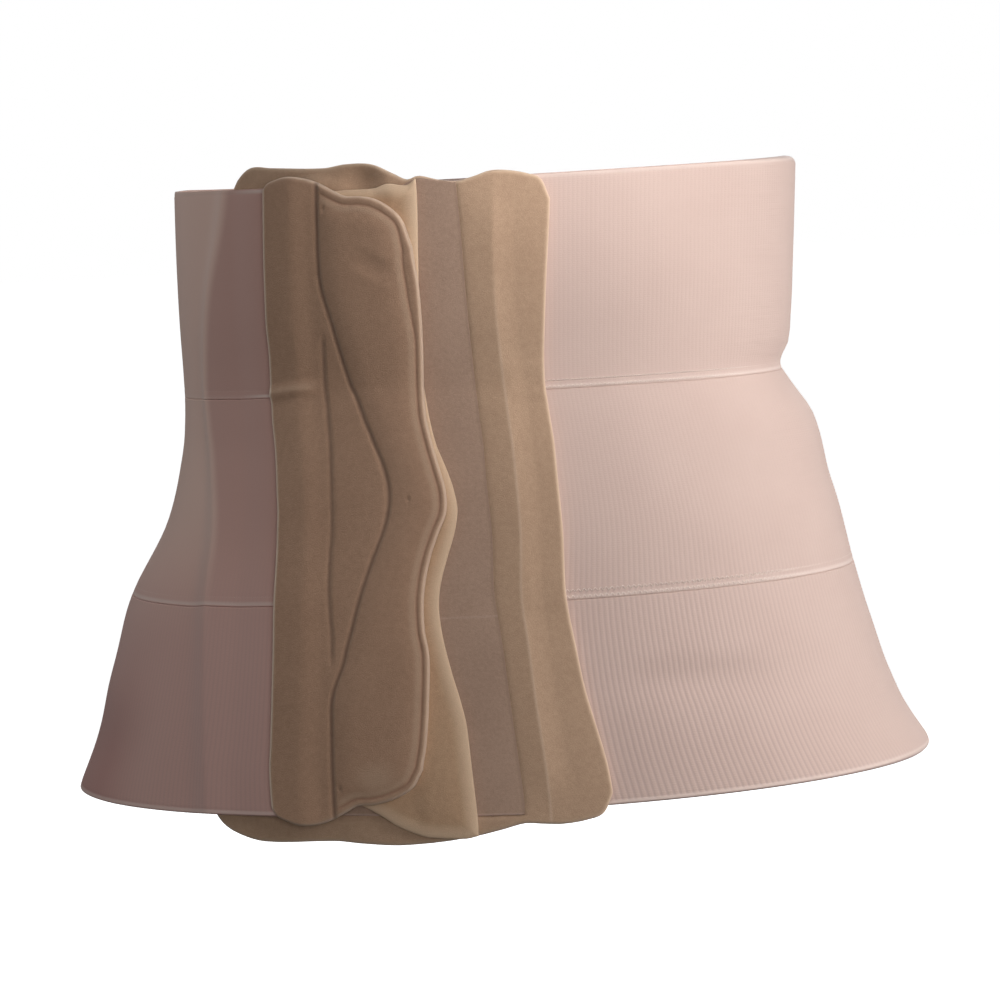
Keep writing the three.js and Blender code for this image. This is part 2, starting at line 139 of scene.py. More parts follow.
def curve(table, at, column=1):
    """A smooth curve through one column of a table, read at values of its first column."""
    by, value = table[:, 0], table[:, column]
    before = np.maximum(np.arange(len(by)) - 1, 0)
    after = np.minimum(np.arange(len(by)) + 1, len(by) - 1)
    slope = (value[after] - value[before]) / (by[after] - by[before])
    i = np.clip(np.searchsorted(by, at, "right") - 1, 0, len(by) - 2)
    span = by[i + 1] - by[i]
    t = np.clip((at - by[i]) / span, 0, 1)
    rise = value[i + 1] - value[i]
    leave, arrive = slope[i] * span, slope[i + 1] * span
    bend = leave + arrive - 2 * rise
    return value[i] + t * (leave + t * (3 * rise - 2 * leave - arrive + t * bend))


def share(start, end, value):
    return np.clip((value - start) / (end - start), 0, 1)


def ease(start, end, value):
    t = share(start, end, value)
    return t * t * (3 - 2 * t)


def bump(distance, reach):
    """A bump of height 1 that falls to 0 at the given reach."""
    return (1 - np.minimum(np.abs(distance) / reach, 1) ** 2) ** 2


def turned_from(at, degrees):
    """Degrees from one place round the belt to another, from -180 to 180."""
    return (degrees - at + 180) % 360 - 180


def half_width_at(z):
    return waist_half_width * curve(sections, z)


def body_point(turn, z):
    """The body's surface at an angle round from the front and a height."""
    deep = waist_half_depth * curve(sections, z, 2)
    shift = waist_half_width * curve(sections, z, 3)
    out = 0
    for high, at, wide, tall, far in folds:
        reach = bump(turned_from(at, np.degrees(turn)), wide) * bump(z - high, tall * upper_band_height)
        out = out + far * waist_half_width * reach
    x = shift + (half_width_at(z) + out) * np.sin(turn)
    y = -(deep + out) * np.cos(turn)
    return np.stack([x, y, z + 0 * turn], axis=-1)


def layer_points(turn, z, *outs):
    """The same points moved out along the surface's normal, once for each given distance."""
    step = 0.01
    round_way = body_point(turn + step, z) - body_point(turn - step, z)
    up_way = body_point(turn, z + 1) - body_point(turn, z - 1)
    normal = np.cross(round_way, up_way)
    normal /= np.linalg.norm(normal, axis=-1, keepdims=True)
    base = body_point(turn, z)
    return [base + normal * out[..., None] for out in outs]


def new_piece(name, points, faces):
    """A smooth mesh in the scene, from points in millimetres."""
    mesh = bpy.data.meshes.new(name)
    mesh.from_pydata((points * mm).tolist(), [], faces)
    mesh.polygons.foreach_set("use_smooth", np.ones(len(faces), bool))
    mesh.update()
    piece = bpy.data.objects.new(name, mesh)
    bpy.context.scene.collection.objects.link(piece)
    return piece


def cloth_mesh(name, outer, inner, **marks):
    """A closed sheet of cloth from the grids of its outer and inner faces, in millimetres. Each mark is
    a grid of values, or of three values, that the finish reads at each point."""
    tall, wide = outer.shape[:2]
    points = np.concatenate([outer.reshape(-1, 3), inner.reshape(-1, 3)])
    front = np.arange(tall * wide).reshape(tall, wide)
    back = front + tall * wide

    def quads(a, b, c, d):
        return np.stack([a.ravel(), b.ravel(), c.ravel(), d.ravel()], axis=1)

    faces = np.concatenate([
        quads(front[:-1, :-1], front[:-1, 1:], front[1:, 1:], front[1:, :-1]),
        quads(back[:-1, :-1], back[1:, :-1], back[1:, 1:], back[:-1, 1:]),
        quads(back[0, :-1], back[0, 1:], front[0, 1:], front[0, :-1]),
        quads(front[-1, :-1], front[-1, 1:], back[-1, 1:], back[-1, :-1]),
        quads(back[:-1, 0], front[:-1, 0], front[1:, 0], back[1:, 0]),
        quads(front[:-1, -1], back[:-1, -1], back[1:, -1], front[1:, -1]),
    ])
    piece = new_piece(name, points, faces.tolist())
    for mark, values in marks.items():
        values = np.asarray(values, float)
        kind = "FLOAT_VECTOR" if values.ndim == 3 else "FLOAT"
        both = np.concatenate([values.reshape(tall * wide, -1)] * 2).ravel()
        made = piece.data.attributes.new(mark, kind, "POINT")
        made.data.foreach_set("vector" if kind == "FLOAT_VECTOR" else "value", both.astype(np.float32))
    return piece


def top_edge_at(turn):
    return upper_band_height + top_edge_rise - top_edge_dip * np.maximum(0, np.cos(turn))


def waist_seam_at(turn):
    return 0 * turn


def hip_seam_at(turn):
    return -middle_band_height + hip_seam_tilt * np.sin(turn)


def hem_at(turn):
    return -lower_height + hem_tilt * np.sin(turn)


panel_outer = panel_inner + panel_thickness
on_panel_inner = panel_outer + layer_gap
loop_recess = 0.9
loop_inner = panel_outer - loop_recess + loop_gap
loop_outer = loop_inner + loop_thickness
inner_flap_inner = loop_outer + flap_gap
inner_flap_outer = inner_flap_inner + inner_flap_thickness
elastic_end_inner = inner_flap_outer + layer_gap


def elastic_lift(round_, z):
    """The elastic's left end climbs over the panel's left edge, then over the inner flap."""
    panel = -panel_left_width * curve(panel_left, z)
    flap = -flap_left_width * curve(flap_left, z)
    climbed = share(panel - panel_ramp, panel - panel_thickness, round_)
    over_panel = 1 - (1 - climbed ** 2.2) ** 1.6
    over_flap = ease(flap - flap_ramp, flap - inner_flap_thickness, round_)
    on_panel = on_panel_inner * over_panel
    return on_panel + (elastic_end_inner - on_panel) * over_flap


def pulled_flat(degrees):
    """The share by which ribs and laps are flattened where the cloth is stretched over the panel's edge."""
    return ease(-130, -90, degrees) * ease(0, -20, degrees)


def rim_round(distance, radius):
    """Share of the thickness that is left at a distance from a rounded edge."""
    whole = np.sqrt(1 - (1 - share(0, radius, distance)) ** 2)
    return thin_edge_share + (1 - thin_edge_share) * whole


# Ribs lie evenly along the cloth: the angle of each from the length round an ellipse
ring_turns = np.linspace(rib_start, rib_end, 4000)
ring_steps = np.hypot(np.cos(ring_turns), ring_depth_share * np.sin(ring_turns))
ring_length = np.concatenate([[0], np.cumsum((ring_steps[1:] + ring_steps[:-1]) / 2)])
ring_length /= ring_length[-1]


def ring_turn(along, z):
    """The angle of a share of the band's length: upright at the right, along the flap at the left."""
    even = np.interp(along, ring_length, ring_turns)
    end = 2 * math.pi + (elastic_tuck_left - flap_left_width * curve(flap_left, z)) / half_width_at(z)
    return rib_start + (even - rib_start) * (end - rib_start) / (rib_end - rib_start)


def elastic_out(turn, z, from_foot, lapped):
    """How far a band's inner face lies from the body, with its lap and its left end."""
    lap = lap_lift * ease(seam_lap + lap_ramp, seam_lap, from_foot) if lapped else 0
    left = np.where(turn > math.pi, elastic_lift((turn - 2 * math.pi) * half_width_at(z), z), 0)
    return left + lap


def elastic_band(name, node, low_at, high_at, foot, between, head, lapped, sewn_head):
    """One band. foot and head list heights of rows from those edges, between the shares of the rest."""
    phases = (np.arange(rib_count)[:, None] + [0, rib_groove_share, 1 - rib_groove_share]).ravel()
    along = np.append(phases, rib_count)[None, :] / rib_count
    rib = np.append(np.tile([0, 1, 1], rib_count), 0)[None, :]
    part = np.concatenate([0 * np.array(foot), between, 1 + 0 * np.array(head)])[:, None]
    beyond = np.concatenate([foot, 0 * np.array(between), -np.array(head)])[:, None]
    z = low_at(0.0) + (high_at(0.0) - low_at(0.0)) * part + beyond + 0 * along
    # Heights hang on angles and angles on heights, so both settle in a few rounds
    for _ in range(3):
        turn = ring_turn(along, z)
        low, high = low_at(turn), high_at(turn)
        z = low + (high - low) * part + beyond
    turn = ring_turn(along, z)
    from_foot, from_head = z - low, high - z
    degrees = turned_from(0, np.degrees(turn))
    calm = pulled_flat(degrees)
    relief = 0
    for at, up, wide, tall, far in dents:
        relief = relief + far * bump(turned_from(at, degrees), wide) * bump(z - up, tall)
    free_edge = np.minimum(no_edge if lapped else from_foot, no_edge if sewn_head else from_head)
    at_head = ease(seam_lap + head_rise, seam_lap - head_cover, from_head) if sewn_head else 0
    sewn = np.maximum(ease(seam_lap + lap_ramp, seam_lap, from_foot) if lapped else 0, at_head)
    foot_edge = np.minimum(from_foot if lapped else free_edge, free_edge)
    selvage = ease(selvage_end, selvage_start, foot_edge)
    curl = 1 if lapped else hem_curl_share
    side = curl * (bump(degrees - 96, 42) + 0.35 * bump(degrees + 96, 40))
    fall = edge_curl - np.minimum(free_edge, edge_curl)
    relief = relief - side * (edge_curl - np.sqrt(edge_curl ** 2 - fall ** 2))
    stitched = bump(from_foot - stitch_low, 0.7) + bump(from_foot - stitch_high, 0.7) if lapped else 0
    full = elastic_thickness * (1 - (1 - pressed_share) * sewn)
    thick = full * rim_round(foot_edge, 0.6 - 0.35 * calm)
    inner = elastic_out(turn, z, from_foot, lapped) + relief - lap_sink * at_head
    if lapped:
        inner = inner + lap_tip_rise * (full - thick)
    deep = rib_height * (0.18 + 0.82 * ease(-20, -120, z))
    ribs = deep * (1 - rib) * (1 - selvage) * (1 - 0.5 * sewn) * (1 - 0.8 * calm)
    outer = inner + thick - ribs - 0.1 * bump(free_edge - 1.9, 0.7) - 0.06 * stitched
    outer, inner = layer_points(turn, z, outer, inner)
    cloth = np.stack([along * rib_count + 0 * z, z, degrees], axis=-1)
    trim = np.stack([free_edge + 0 * z, foot_edge + 0 * z, calm + 0 * z], axis=-1)
    # Cloth beyond the panel's left edge, where the finish paints light and shade.
    from_front = (turn - 2 * math.pi) * half_width_at(z)
    off_panel = ease(3, -3, from_front + panel_left_width * curve(panel_left, z))
    beside = np.where(turn > math.pi, off_panel, 0)
    piece = cloth_mesh(name, outer, inner, cloth=cloth, trim=trim, beside=beside * calm)
    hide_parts(node)
    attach(piece, "root")
    return piece


free_rows = [0, 0.12, 0.35, 0.7, 1.1, 1.5, 1.9, 2.4, 3.2, 4.4]
lapped_rows = [0, 0.12, 0.35, 0.8, 1.3, 2.2, 3.1, 3.7, 4.5, 4.8, 5.1, 5.4, 5.7, 7.2]
head_rows = [5.2, 4.9, 4.58, 4.25, 2, 0.3, 0]
upper_band = elastic_band(
    "upper_elastic_band", "elastic_band_upper", lambda turn: waist_seam_at(turn) - lap_half, top_edge_at,
    lapped_rows, np.linspace(0.13, 0.92, 15), free_rows[::-1], lapped=True, sewn_head=False)
middle_band = elastic_band(
    "middle_elastic_band", "elastic_band_middle", lambda turn: hip_seam_at(turn) - lap_half,
    lambda turn: waist_seam_at(turn) + lap_half, lapped_rows, np.linspace(0.13, 0.91, 18), head_rows,
    lapped=True, sewn_head=True)
lower_band = elastic_band(
    "lower_elastic_band", "elastic_band_lower", hem_at, lambda turn: hip_seam_at(turn) + lap_half,
    free_rows, np.linspace(0.08, 0.91, 19), head_rows, lapped=False, sewn_head=True)


class Reading:
    """One value, colour or direction in a finish. Sums with it add nodes, so they read as sums."""

    def __init__(self, finish, socket):
        self.finish = finish
        self.socket = socket

    def math(self, operation, *values):
        return self.finish.node("ShaderNodeMath", {"operation": operation}, dict(enumerate(values)))

    def __add__(self, other):
        return self.math("ADD", self, other)

    def __sub__(self, other):
        return self.math("SUBTRACT", self, other)

    def __rsub__(self, other):
        return self.math("SUBTRACT", other, self)

    def __mul__(self, other):
        return self.math("MULTIPLY", self, other)

    def __truediv__(self, other):
        return self.math("DIVIDE", self, other)

    def __pow__(self, other):
        return self.math("POWER", self, other)

    __radd__ = __add__
    __rmul__ = __mul__


class Finish:
    """A material, built one node at a time."""

    def __init__(self, name, **fixed):
        self.material = bpy.data.materials.new(name)
        self.material.use_nodes = True
        self.tree = self.material.node_tree
        self.shader = self.tree.nodes["Principled BSDF"]
        self.set(**fixed)

    def set(self, **sockets):
        """Sets or links the shader's own sockets."""
        for name, value in sockets.items():
            self.put(self.shader.inputs[name.replace("_", " ")], value)

    def put(self, socket, value):
        if isinstance(value, Reading):
            self.tree.links.new(value.socket, socket)
        elif hasattr(value, "__len__") and len(value) == 3 and len(socket.default_value) == 4:
            socket.default_value = (*value, 1)
        else:
            socket.default_value = value

    def node(self, kind, settings=None, sockets=None, out=0):
        """Any node: its type, its settings, and the values or links of its sockets."""
        made = self.tree.nodes.new(kind)
        for name, value in (settings or {}).items():
            setattr(made, name, value)
        for name, value in (sockets or {}).items():
            self.put(made.inputs[name], value)
        return Reading(self, made.outputs[out])

    def blend(self, factor, first, second):
        """From the first colour to the second."""
        return self.node("ShaderNodeMix", {"data_type": "RGBA"}, {0: factor, 6: first, 7: second}, out=2)

    def smooth(self, value, start, end):
        """0 before start, 1 after end, and smooth between."""
        limits = {"Value": value, "From Min": start, "From Max": end}
        return self.node("ShaderNodeMapRange", {"interpolation_type": "SMOOTHSTEP"}, limits)

    def mark(self, name):
        """A value that the mesh holds at each point."""
        return self.node("ShaderNodeAttribute", {"attribute_name": name}, out="Fac")

    def marks(self, name):
        """The three values of a mark that holds three."""
        read = self.node("ShaderNodeAttribute", {"attribute_name": name}, out="Vector")
        split = self.node("ShaderNodeSeparateXYZ", {}, {0: read}).socket.node
        return [Reading(self, socket) for socket in split.outputs]

    def place(self, x, y, z):
        return self.node("ShaderNodeCombineXYZ", {}, {0: x, 1: y, 2: z})

    def noise(self, scale, detail=2, rough=0.5, at=None):
        """Fine irregular grain, from 0 to 1. It lies in the object's own space unless a place is given."""
        at = at or self.node("ShaderNodeTexCoord", out="Object")
        sizes = {"Vector": at, "Scale": scale, "Detail": detail, "Roughness": rough}
        return self.node("ShaderNodeTexNoise", {}, sizes)

    def relief(self, height, distance, under=None):
        """The normal of a relief whose heights from 0 to 1 stand for a distance in metres."""
        sizes = {"Height": height, "Distance": distance}
        if under:
            sizes["Normal"] = under
        return self.node("ShaderNodeBump", {}, sizes)


def dress(finish, *pieces):
    for piece in pieces:
        piece.data.materials.append(finish.material)


ribbed = Finish("ribbed_elastic", Roughness=0.85, Sheen_Weight=0.25, Sheen_Roughness=0.45)
rib_at, up_at, round_at = ribbed.marks("cloth")
free_edge, foot_edge, calm = ribbed.marks("trim")
across_rib = rib_at.math("PINGPONG", rib_at, 0.5) * 2
groove = 1 - ribbed.smooth(across_rib, 0.1, 0.62)
selvage = 1 - ribbed.smooth(foot_edge, selvage_start, selvage_end)
weave = ribbed.noise(1.0, 3, 0.6, ribbed.place(rib_at * 3.0, up_at * 1.9, 0))
mottle = ribbed.noise(38, 3, 0.55)
thread_half = 0.45
threads = up_at.math("PINGPONG", up_at, thread_half) / thread_half
rib_colour = ribbed.blend(mottle, (0.625, 0.45, 0.39), (0.675, 0.50, 0.435))
rib_colour = ribbed.blend(ribbed.smooth(weave, 0.3, 0.75) * 0.15, rib_colour, (0.72, 0.57, 0.51))
# Where the cloth is pulled flat on the front-left side, turned from the key lamp, the pink is swapped for a
# redder copy, darker higher up: painted shade.
painted_shade_pink = ribbed.blend(ribbed.smooth(up_at, -110, -60), (0.68, 0.42, 0.365), (0.61, 0.365, 0.31))
rib_colour = ribbed.blend(calm, rib_colour, painted_shade_pink)
beside = ribbed.mark("beside")
# Beyond the panel's left edge and above the hips the pink is painted much lighter: painted light on the
# side that faces left.
painted_side_light = beside * ribbed.smooth(up_at, -110, -40)
rib_colour = ribbed.blend(painted_side_light * 0.85, rib_colour, (0.80, 0.56, 0.465))
# Low on the far left, beyond the panel, the pink is painted a dark red: painted shade.
far_left = 1 - ribbed.smooth(round_at, -60, -42)
painted_hip_shade = far_left * beside * (1 - ribbed.smooth(up_at, -160, -90))
rib_colour = ribbed.blend(painted_hip_shade * 0.72, rib_colour, (0.46, 0.20, 0.17))
# The grooves between the ribs are painted darker, more so low down and less on the wearer's left side and
# where the cloth is pulled flat: painted shade in the grooves.
painted_groove_shade = ribbed.blend(mottle, (0.34, 0.22, 0.21), (0.41, 0.27, 0.26))
low = 1 - ribbed.smooth(up_at, -130, -40)
left_side = ribbed.smooth(round_at, 44, 84) * (1 - ribbed.smooth(round_at, 110, 170))
strength = (0.03 + 0.25 * low) * (1 - 0.8 * left_side) * (1 - 0.6 * calm)
pink = ribbed.blend(groove * strength * (1 - selvage), rib_colour, painted_groove_shade)
# A pale line just inside the foot of each lap, the hem and the top edge, stronger beside the flap in the
# upper band: painted highlight, which also lifts the shade under the laps.
foot_edge_highlight = ribbed.smooth(foot_edge, 0.2, 0.7) * (1 - ribbed.smooth(foot_edge, 1.2, 2.4))
by_flap = ribbed.smooth(round_at, -38, -27) * calm * ribbed.smooth(up_at, -40, -20)
foot_edge_highlight = foot_edge_highlight * (0.45 - 0.35 * calm * ribbed.smooth(up_at, -60, -20) + 0.6 * by_flap)
pink = ribbed.blend(foot_edge_highlight, pink, (0.86, 0.71, 0.64))
edge_line = (1 - ribbed.smooth(free_edge, 0.2, 0.6)) * 0.25
pink = ribbed.blend(edge_line, pink, (0.40, 0.21, 0.18))
fine = ribbed.relief(weave * 0.7 + threads * (1 - groove) * (1 - calm) * 0.3, 0.0001)
wavy = ribbed.noise(1.0, 2, 0.5, ribbed.place(round_at * 0.05, up_at * 0.26, 0))
stretch = left_side * ribbed.smooth(wavy, 0.35, 0.7)
ribbed.set(Base_Color=pink, Normal=ribbed.relief(stretch, 0.00009, fine))
dress(ribbed, upper_band, middle_band, lower_band)


# Seam stitches
# Each lap is sewn through with two rows of zigzag in a soft bulked thread, which gives with the
# elastic. Single stitches stand a little proud, and their ends sink where the needle went in. Where the
# cloth is stretched hardest, the whole stitch sinks into it.
stitch_radius = 0.22
stitch_rise = 0.12
stitch_sink = 0.34
mean_radius_share = 0.86
stitch_start = 0.36
stitch_end = 2 * math.pi - 0.34


def zigzag(name, seam_at, rows, step):
    """Rows of slanted stitches along a lap. rows are (height over the band's foot, half height)."""
    along = np.linspace(0, 1, 4)
    around = np.linspace(0, 2 * math.pi, 5, endpoint=False)
    swell = np.sin(math.pi * along)
    stitches = []
    for from_foot, half in rows:
        length = half_width_at(seam_at(0.0)) * mean_radius_share * (stitch_end - stitch_start)
        count = int(length / step)
        ends = np.interp(np.linspace(0, 1, count + 1), ring_length, ring_turns)
        ends = stitch_start + (ends - rib_start) * (stitch_end - stitch_start) / (rib_end - rib_start)
        turn = ends[:-1, None] + np.diff(ends)[:, None] * along
        way = np.where(np.arange(count) % 2, -half, half)[:, None] * (2 * along - 1)
        z = seam_at(turn) - lap_half + from_foot + way
        degrees = turned_from(0, np.degrees(turn))
        stretched = np.maximum(pulled_flat(degrees), ease(45, 80, degrees) * ease(150, 110, degrees))
        base = elastic_out(turn, z, from_foot + way, True) + elastic_thickness * pressed_share
        base = base + stitch_rise * swell - stitch_sink * stretched
        centre, above = layer_points(turn, z, base, base + 1)
        out = above - centre
        ahead = np.gradient(centre, axis=1)
        aside = np.cross(ahead / np.linalg.norm(ahead, axis=-1, keepdims=True), out)
        ring = out[:, :, None] * np.cos(around)[:, None] + aside[:, :, None] * np.sin(around)[:, None]
        thick = stitch_radius * (0.45 + 0.55 * swell)
        stitches.append(centre[:, :, None] + ring * thick[:, None, None])
    points = np.concatenate(stitches)
    index = np.arange(points[..., 0].size).reshape(points.shape[:3])
    turned = np.roll(index, -1, axis=2)
    sides = np.stack([index[:, :-1], turned[:, :-1], turned[:, 1:], index[:, 1:]], axis=-1).reshape(-1, 4)
    caps = np.concatenate([index[:, 0, ::-1], index[:, -1]])
    piece = new_piece(name, points.reshape(-1, 3), sides.tolist() + caps.tolist())
    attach(piece, "root")
    return piece


waist_rows = [(stitch_high, 0.3), (stitch_low, 0.45)]
waist_stitches = zigzag("waist_seam_stitches", waist_seam_at, waist_rows, 0.95)
hip_stitches = zigzag("hip_seam_stitches", hip_seam_at, [(3.6, 0.75), (1.0, 0.75)], 1.15)

thread = Finish("bulked_thread", Roughness=0.7, Sheen_Weight=0.3)
strands = thread.noise(2600, 2, 0.5)
thread_colour = thread.blend(strands, (0.78, 0.63, 0.56), (0.87, 0.74, 0.67))
thread.set(Base_Color=thread_colour, Normal=thread.relief(strands, 0.00008))
dress(thread, waist_stitches, hip_stitches)


# Front panel
# A moulded foam laminate faced with short brushed velour. It lies on the right end of the elastic, and
# its left side runs under the flaps and the left elastic. A stay lies under the crest, from which the
# panel falls flat to the loops on one side and softly to its edge on the other.
panel_right_width = 84
panel_above_elastic = 8
panel_below_elastic = 11
crest_height = 1.9
crest_reach = 9
recess_lip = 0.45
cover_step = 0.45
recess_foot = -172.2
cover_foot = -lap_half - 1
cover_top = lap_half + 5
cover_ramp = 5

# Right edge and crest, as shares of the right width
panel_right = at_heights(
    (-1.1, 1.0, 0.69), (-0.965, 0.996, 0.686), (-0.88, 0.974, 0.677), (-0.72, 0.885, 0.637),
    (-0.6, 0.829, 0.602), (-0.49, 0.772, 0.556), (-0.3, 0.688, 0.485), (-0.12, 0.648, 0.445),
    (0.05, 0.634, 0.432), (0.45, 0.653, 0.402), (0.8, 0.676, 0.402), (1.1, 0.684, 0.402))
loop_right_width = 47.5
loop_right = at_heights(
    (-1.1, 1.0), (-0.96, 1.0), (-0.8, 0.95), (-0.6, 0.85), (-0.45, 0.725), (-0.26, 0.59), (-0.1, 0.54),
    (0.05, 0.525), (0.4, 0.476), (0.75, 0.434), (1.0, 0.39))

# Ends: how far across from left to right, then shares of the rise above the elastic's top edge and of
# the drop below its hem
panel_ends = np.array([
    (0, -0.35, -0.1), (0.025, 0.55, 0.3), (0.07, 1.1, 0.65), (0.15, 1.04, 0.92), (0.34, 0.89, 0.88),
    (0.41, 1.03, 0.98), (0.49, 0.95, 1.06), (0.56, 0.4, 1.02), (0.6, 0.08, 0.97), (0.63, 0.24, 0.92),
    (0.69, -0.02, 0.78), (0.74, -0.13, 0.62), (0.79, 0.08, 0.45), (0.83, 0.3, 0.5), (0.88, 0.27, 0.55),
    (0.94, 0.02, 0.45), (0.975, -0.3, 0.25), (1, -1.3, -0.4),
])
lap_rows = np.array([cover_foot - cover_ramp, lap_half + 9.5])
hip_rows = lap_rows - middle_band_height


def cover_lift(turn, z):
    """How far cloth that lies on the elastic is lifted where it crosses a lap."""
    def over(rise):
        climb = ease(cover_foot - cover_ramp, cover_foot, rise)
        return climb * ease(cover_top + cover_ramp, cover_top, rise)

    return cover_step * np.maximum(over(z), over(z - hip_seam_at(turn)))


def line_columns(*stretches):
    """Columns between lines. Each stretch lists the shares of its columns, the next line's left out."""
    line = np.concatenate([np.full(len(shares), i) for i, shares in enumerate(stretches)])
    part = np.concatenate([np.asarray(shares, float) for shares in stretches])
    return np.append(line, len(stretches)), np.append(part, 0.0)


def even(count):
    return np.arange(count) / count


def towards_start(count, tightness):
    """Shares that close up towards the start."""
    return even(count) ** (1 + tightness)


def towards_end(count, tightness):
    """Shares that close up towards the end, where an edge is rounded."""
    return 1 - (1 - even(count)) ** (1 + tightness)


def front_rows(count):
    """Heights of the rows of a front piece before its ends are shaped, closer at both ends."""
    near = np.array([0, 0.1, 0.3, 0.6, 1, 1.5, 2, 2.5, 3, 3.5, 4, 4.6, 5.3, 6.1])
    between = np.linspace(-lower_height + 7, upper_band_height - 7, count)
    return np.concatenate([-lower_height + near, between, upper_band_height - near[::-1]])[:, None]


def front_place(ends, lines_at, columns, rows):
    """Places the grid of a front piece. lines_at gives, at a height, the distances round the body of the
    lines that the columns run between. It returns the lines and each point's distance and angle round,
    height, and distance to the piece's outline."""
    line, part = columns
    count = np.arange(len(line))
    z = rows + 0 * part
    # Heights hang on angles and angles on heights, so both settle in a few rounds
    for _ in range(7):
        lines = np.stack(lines_at(z))
        start = lines[line, :, count].T
        end = lines[np.minimum(line + 1, len(lines) - 1), :, count].T
        round_ = start + (end - start) * part
        across = (round_ - lines[0]) / (lines[-1] - lines[0])
        turn = round_ / half_width_at(z)
        tilt = hip_seam_tilt * np.sin(turn) * ease(0, -middle_band_height / 2, rows)
        top = top_edge_at(turn) + panel_above_elastic * curve(ends, across, 1)
        bottom = hem_at(turn) - panel_below_elastic * curve(ends, across, 2)
        over_lap = (rows - lap_rows[1]) / (upper_band_height - lap_rows[1])
        high = lap_rows[1] + (top - lap_rows[1]) * over_lap
        foot = hip_rows[0] + tilt
        low = foot + (bottom - foot) * (hip_rows[0] - rows) / (hip_rows[0] + lower_height)
        z = np.where(rows > lap_rows[1], high, np.where(rows > hip_rows[0], rows + tilt, low))
    flat = np.stack([round_, z], axis=-1)
    outline = np.concatenate([flat[0], flat[1:, -1], flat[-1, -2::-1], flat[-2::-1, 0]])
    parts = even(6)[:, None, None]
    outline = (outline[:-1] * (1 - parts) + outline[1:] * parts).reshape(-1, 2)
    nearest = KDTree(len(outline))
    for i, (x, y) in enumerate(outline.tolist()):
        nearest.insert((x, y, 0), i)
    nearest.balance()
    edge = [nearest.find((x, y, 0))[2] for x, y in flat.reshape(-1, 2).tolist()]
    return lines, round_, turn, z, np.reshape(edge, z.shape)


def front_piece(name, node, place, inner, outer, radius, **marks):
    """A moulded or cut front piece between two distances from the body, with rounded edges."""
    lines, round_, turn, z, edge = place
    middle = (inner + outer) / 2
    half = (outer - inner) / 2 * rim_round(edge, radius)
    outer, inner = layer_points(turn, z, middle + half, middle - half)
    piece = cloth_mesh(name, outer, inner, edge=edge, **marks)
    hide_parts(node)
    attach(piece, "root")
    return piece


def panel_lines(z):
    crest = panel_right_width * curve(panel_right, z, 2)
    loop_edge = loop_right_width * curve(loop_right, z)
    right = panel_right_width * curve(panel_right, z)
    return [-panel_left_width * curve(panel_left, z), loop_edge, crest - 1, crest + 1, right]


def pins(round_, z, *spots):
    """Small moulded dimples at places given as distance round, height and depth."""
    return sum(depth * bump(np.hypot(round_ - at, z - high), 1.5) for at, high, depth in spots)


def hollow(round_, z, at, high, wide, tall):
    """A soft dent of depth 1 with the given reaches."""
    return bump(np.hypot((round_ - at) / wide, (z - high) / tall), 1)


panel_columns = line_columns(even(64), even(8), even(5), towards_end(34, 0.5))
place = front_place(panel_ends, panel_lines, panel_columns, front_rows(170))
lines, round_, turn, z, edge = place
crest = (lines[2] + lines[3]) / 2
ends = ease(-lower_height, -lower_height * 0.9, z) * ease(upper_band_height, upper_band_height * 0.72, z)
recess = ease(lines[1] + 0.2, lines[1] - 0.6, round_) * ease(recess_foot, recess_foot + 0.8, z)
recess = (loop_recess + recess_lip) * recess
lip = recess_lip * ease(-34, -20, round_) - recess * ease(-100, -60, round_)
facet = lip + (crest_height - recess_lip) * ends * share(lines[1], crest, round_)
fall = share(crest + crest_reach, crest, round_) ** 1.4
fall = (recess_lip + (crest_height - recess_lip) * ends) * fall
relief = np.where(round_ < crest, facet, fall) - 0.06 * ends * bump(round_ - crest, 0.8)
inner = panel_inner + cover_lift(turn, z) * ease(crest - 1, crest + 4, round_)
inner = inner - 3.2 * hollow(round_, z, -22, 86, 12, 9) + 1.8 * hollow(round_, z, -43, 86, 11, 6)
relief = relief - pins(round_, z, (47, 78, 0.35), (69, -157, 0.35))
outer = inner + panel_thickness + relief
# Where a highlight is painted along the crest, fading out above the waist.
crest_highlight = bump(round_ - crest, 1.0) * ease(60, 0, z)
front_panel = front_piece(
    "front_panel_laminate", "front_panel", place, inner, outer, 1.5, crest=crest_highlight)


def velour(name, dark, light, rim, line, reach=2.1, strength=0.5):
    """Short pile on foam, raised by brushing: a fine grain and soft patches where the nap lies another way.
    The edges are painted paler, a band of the rim colour that fades out by reach and a thin pale line right
    at the edge: painted sheen highlight."""
    cloth = Finish(
        name, Roughness=0.9, Sheen_Weight=0.45, Sheen_Roughness=0.5, Sheen_Tint=(1, 0.86, 0.72, 1))
    grain = cloth.noise(2300, 3, 0.7)
    nap = cloth.noise(420, 4, 0.6)
    patch = cloth.noise(24, 2, 0.5)
    tone = cloth.smooth(grain * 0.5 + nap * 0.3 + patch * 0.2, 0.34, 0.66)
    edge = cloth.mark("edge")
    plain = cloth.blend(tone, dark, light)
    # Paler colour near the edges, a broad band and a thin line: painted sheen highlight.
    soft = cloth.blend((1 - cloth.smooth(edge, 0.3, reach)) * strength, plain, rim)
    cloth.colour = cloth.blend((1 - cloth.smooth(edge, 0.25, 0.9)) * line, soft, (0.86, 0.68, 0.53))
    cloth.set(Base_Color=cloth.colour, Normal=cloth.relief(grain * 0.7 + nap * 0.3, 0.00028))
    return cloth


panel_finish = velour(
    "panel_velour", (0.44, 0.28, 0.18), (0.54, 0.355, 0.235), (0.66, 0.47, 0.33), line=0.2)
